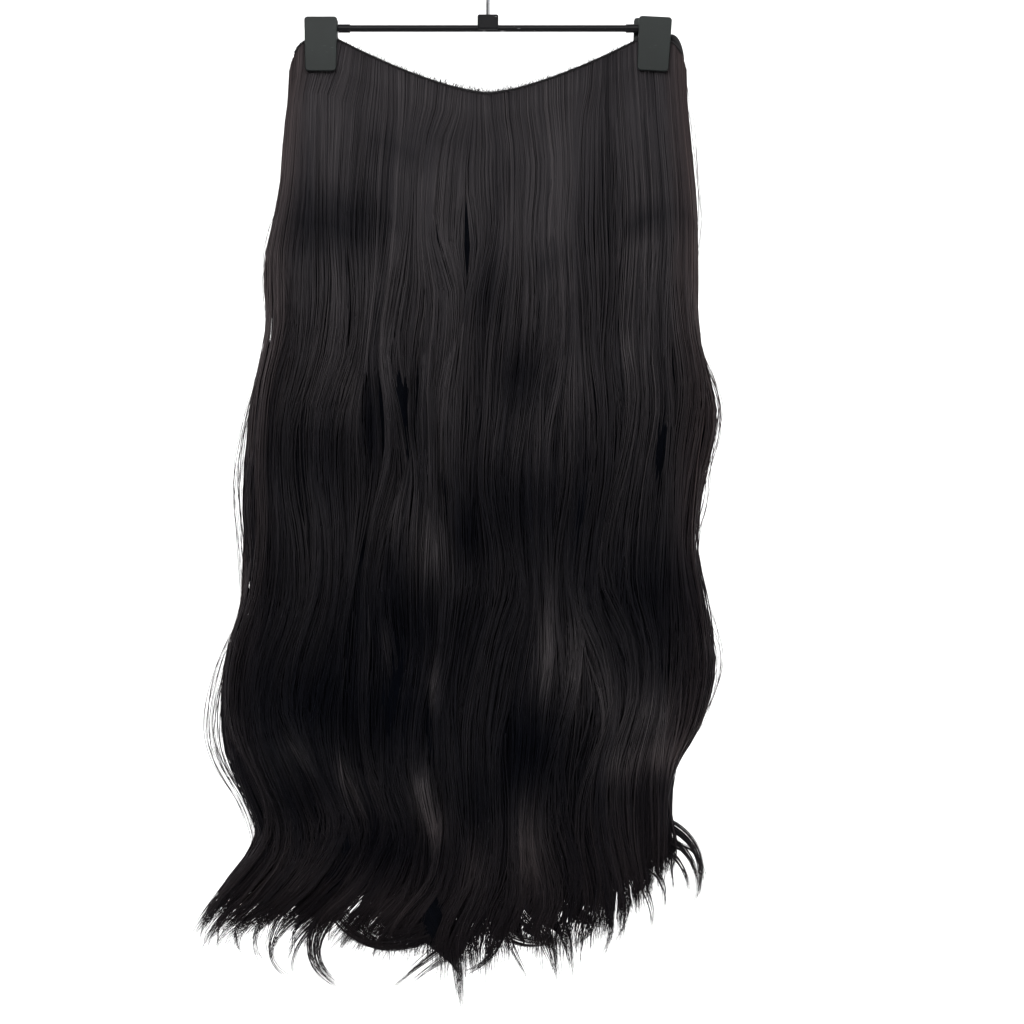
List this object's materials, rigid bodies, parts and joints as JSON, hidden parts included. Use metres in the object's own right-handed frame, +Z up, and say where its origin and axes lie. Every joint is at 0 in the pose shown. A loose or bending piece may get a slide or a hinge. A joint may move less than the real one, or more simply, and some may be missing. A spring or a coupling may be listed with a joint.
{
  "type": "clip-in hair extension on clip hanger",
  "caption": "Long wavy dark hair on a sewn weft with snap clips behind it, held at both ends by the clips of a slim skirt hanger with a bent wire hook",
  "frame": {"origin": "inside top of the hanger's hook, where a rail carries it", "axes": "+Z up, hair falls along -Z; -Y is the front that shows the hair; +X to the right seen from the front"},
  "size_m": [0.3481, 0.0485, 0.7352],
  "materials": {
    "hair": "smooth synthetic hair, soft sheen",
    "weft": "dark stitched band",
    "snap_clip": "black enamel",
    "bar": "black lacquer",
    "hook": "polished wire",
    "jaw": "fine satin grain",
    "spring": "bright steel band"
  },
  "bodies": {
    "root": {"hair": "hair", "weft_band": "weft", "snap_clip_1": "snap_clip", "snap_clip_2": "snap_clip", "snap_clip_3": "snap_clip", "snap_clip_4": "snap_clip", "snap_clip_5": "snap_clip", "hanger_bar": "bar", "hanger_hook": "hook", "left_front_jaw": "jaw", "left_back_jaw": "jaw", "left_clip_spring": "spring", "right_front_jaw": "jaw", "right_back_jaw": "jaw", "right_clip_spring": "spring"}
  },
  "joints": []
}
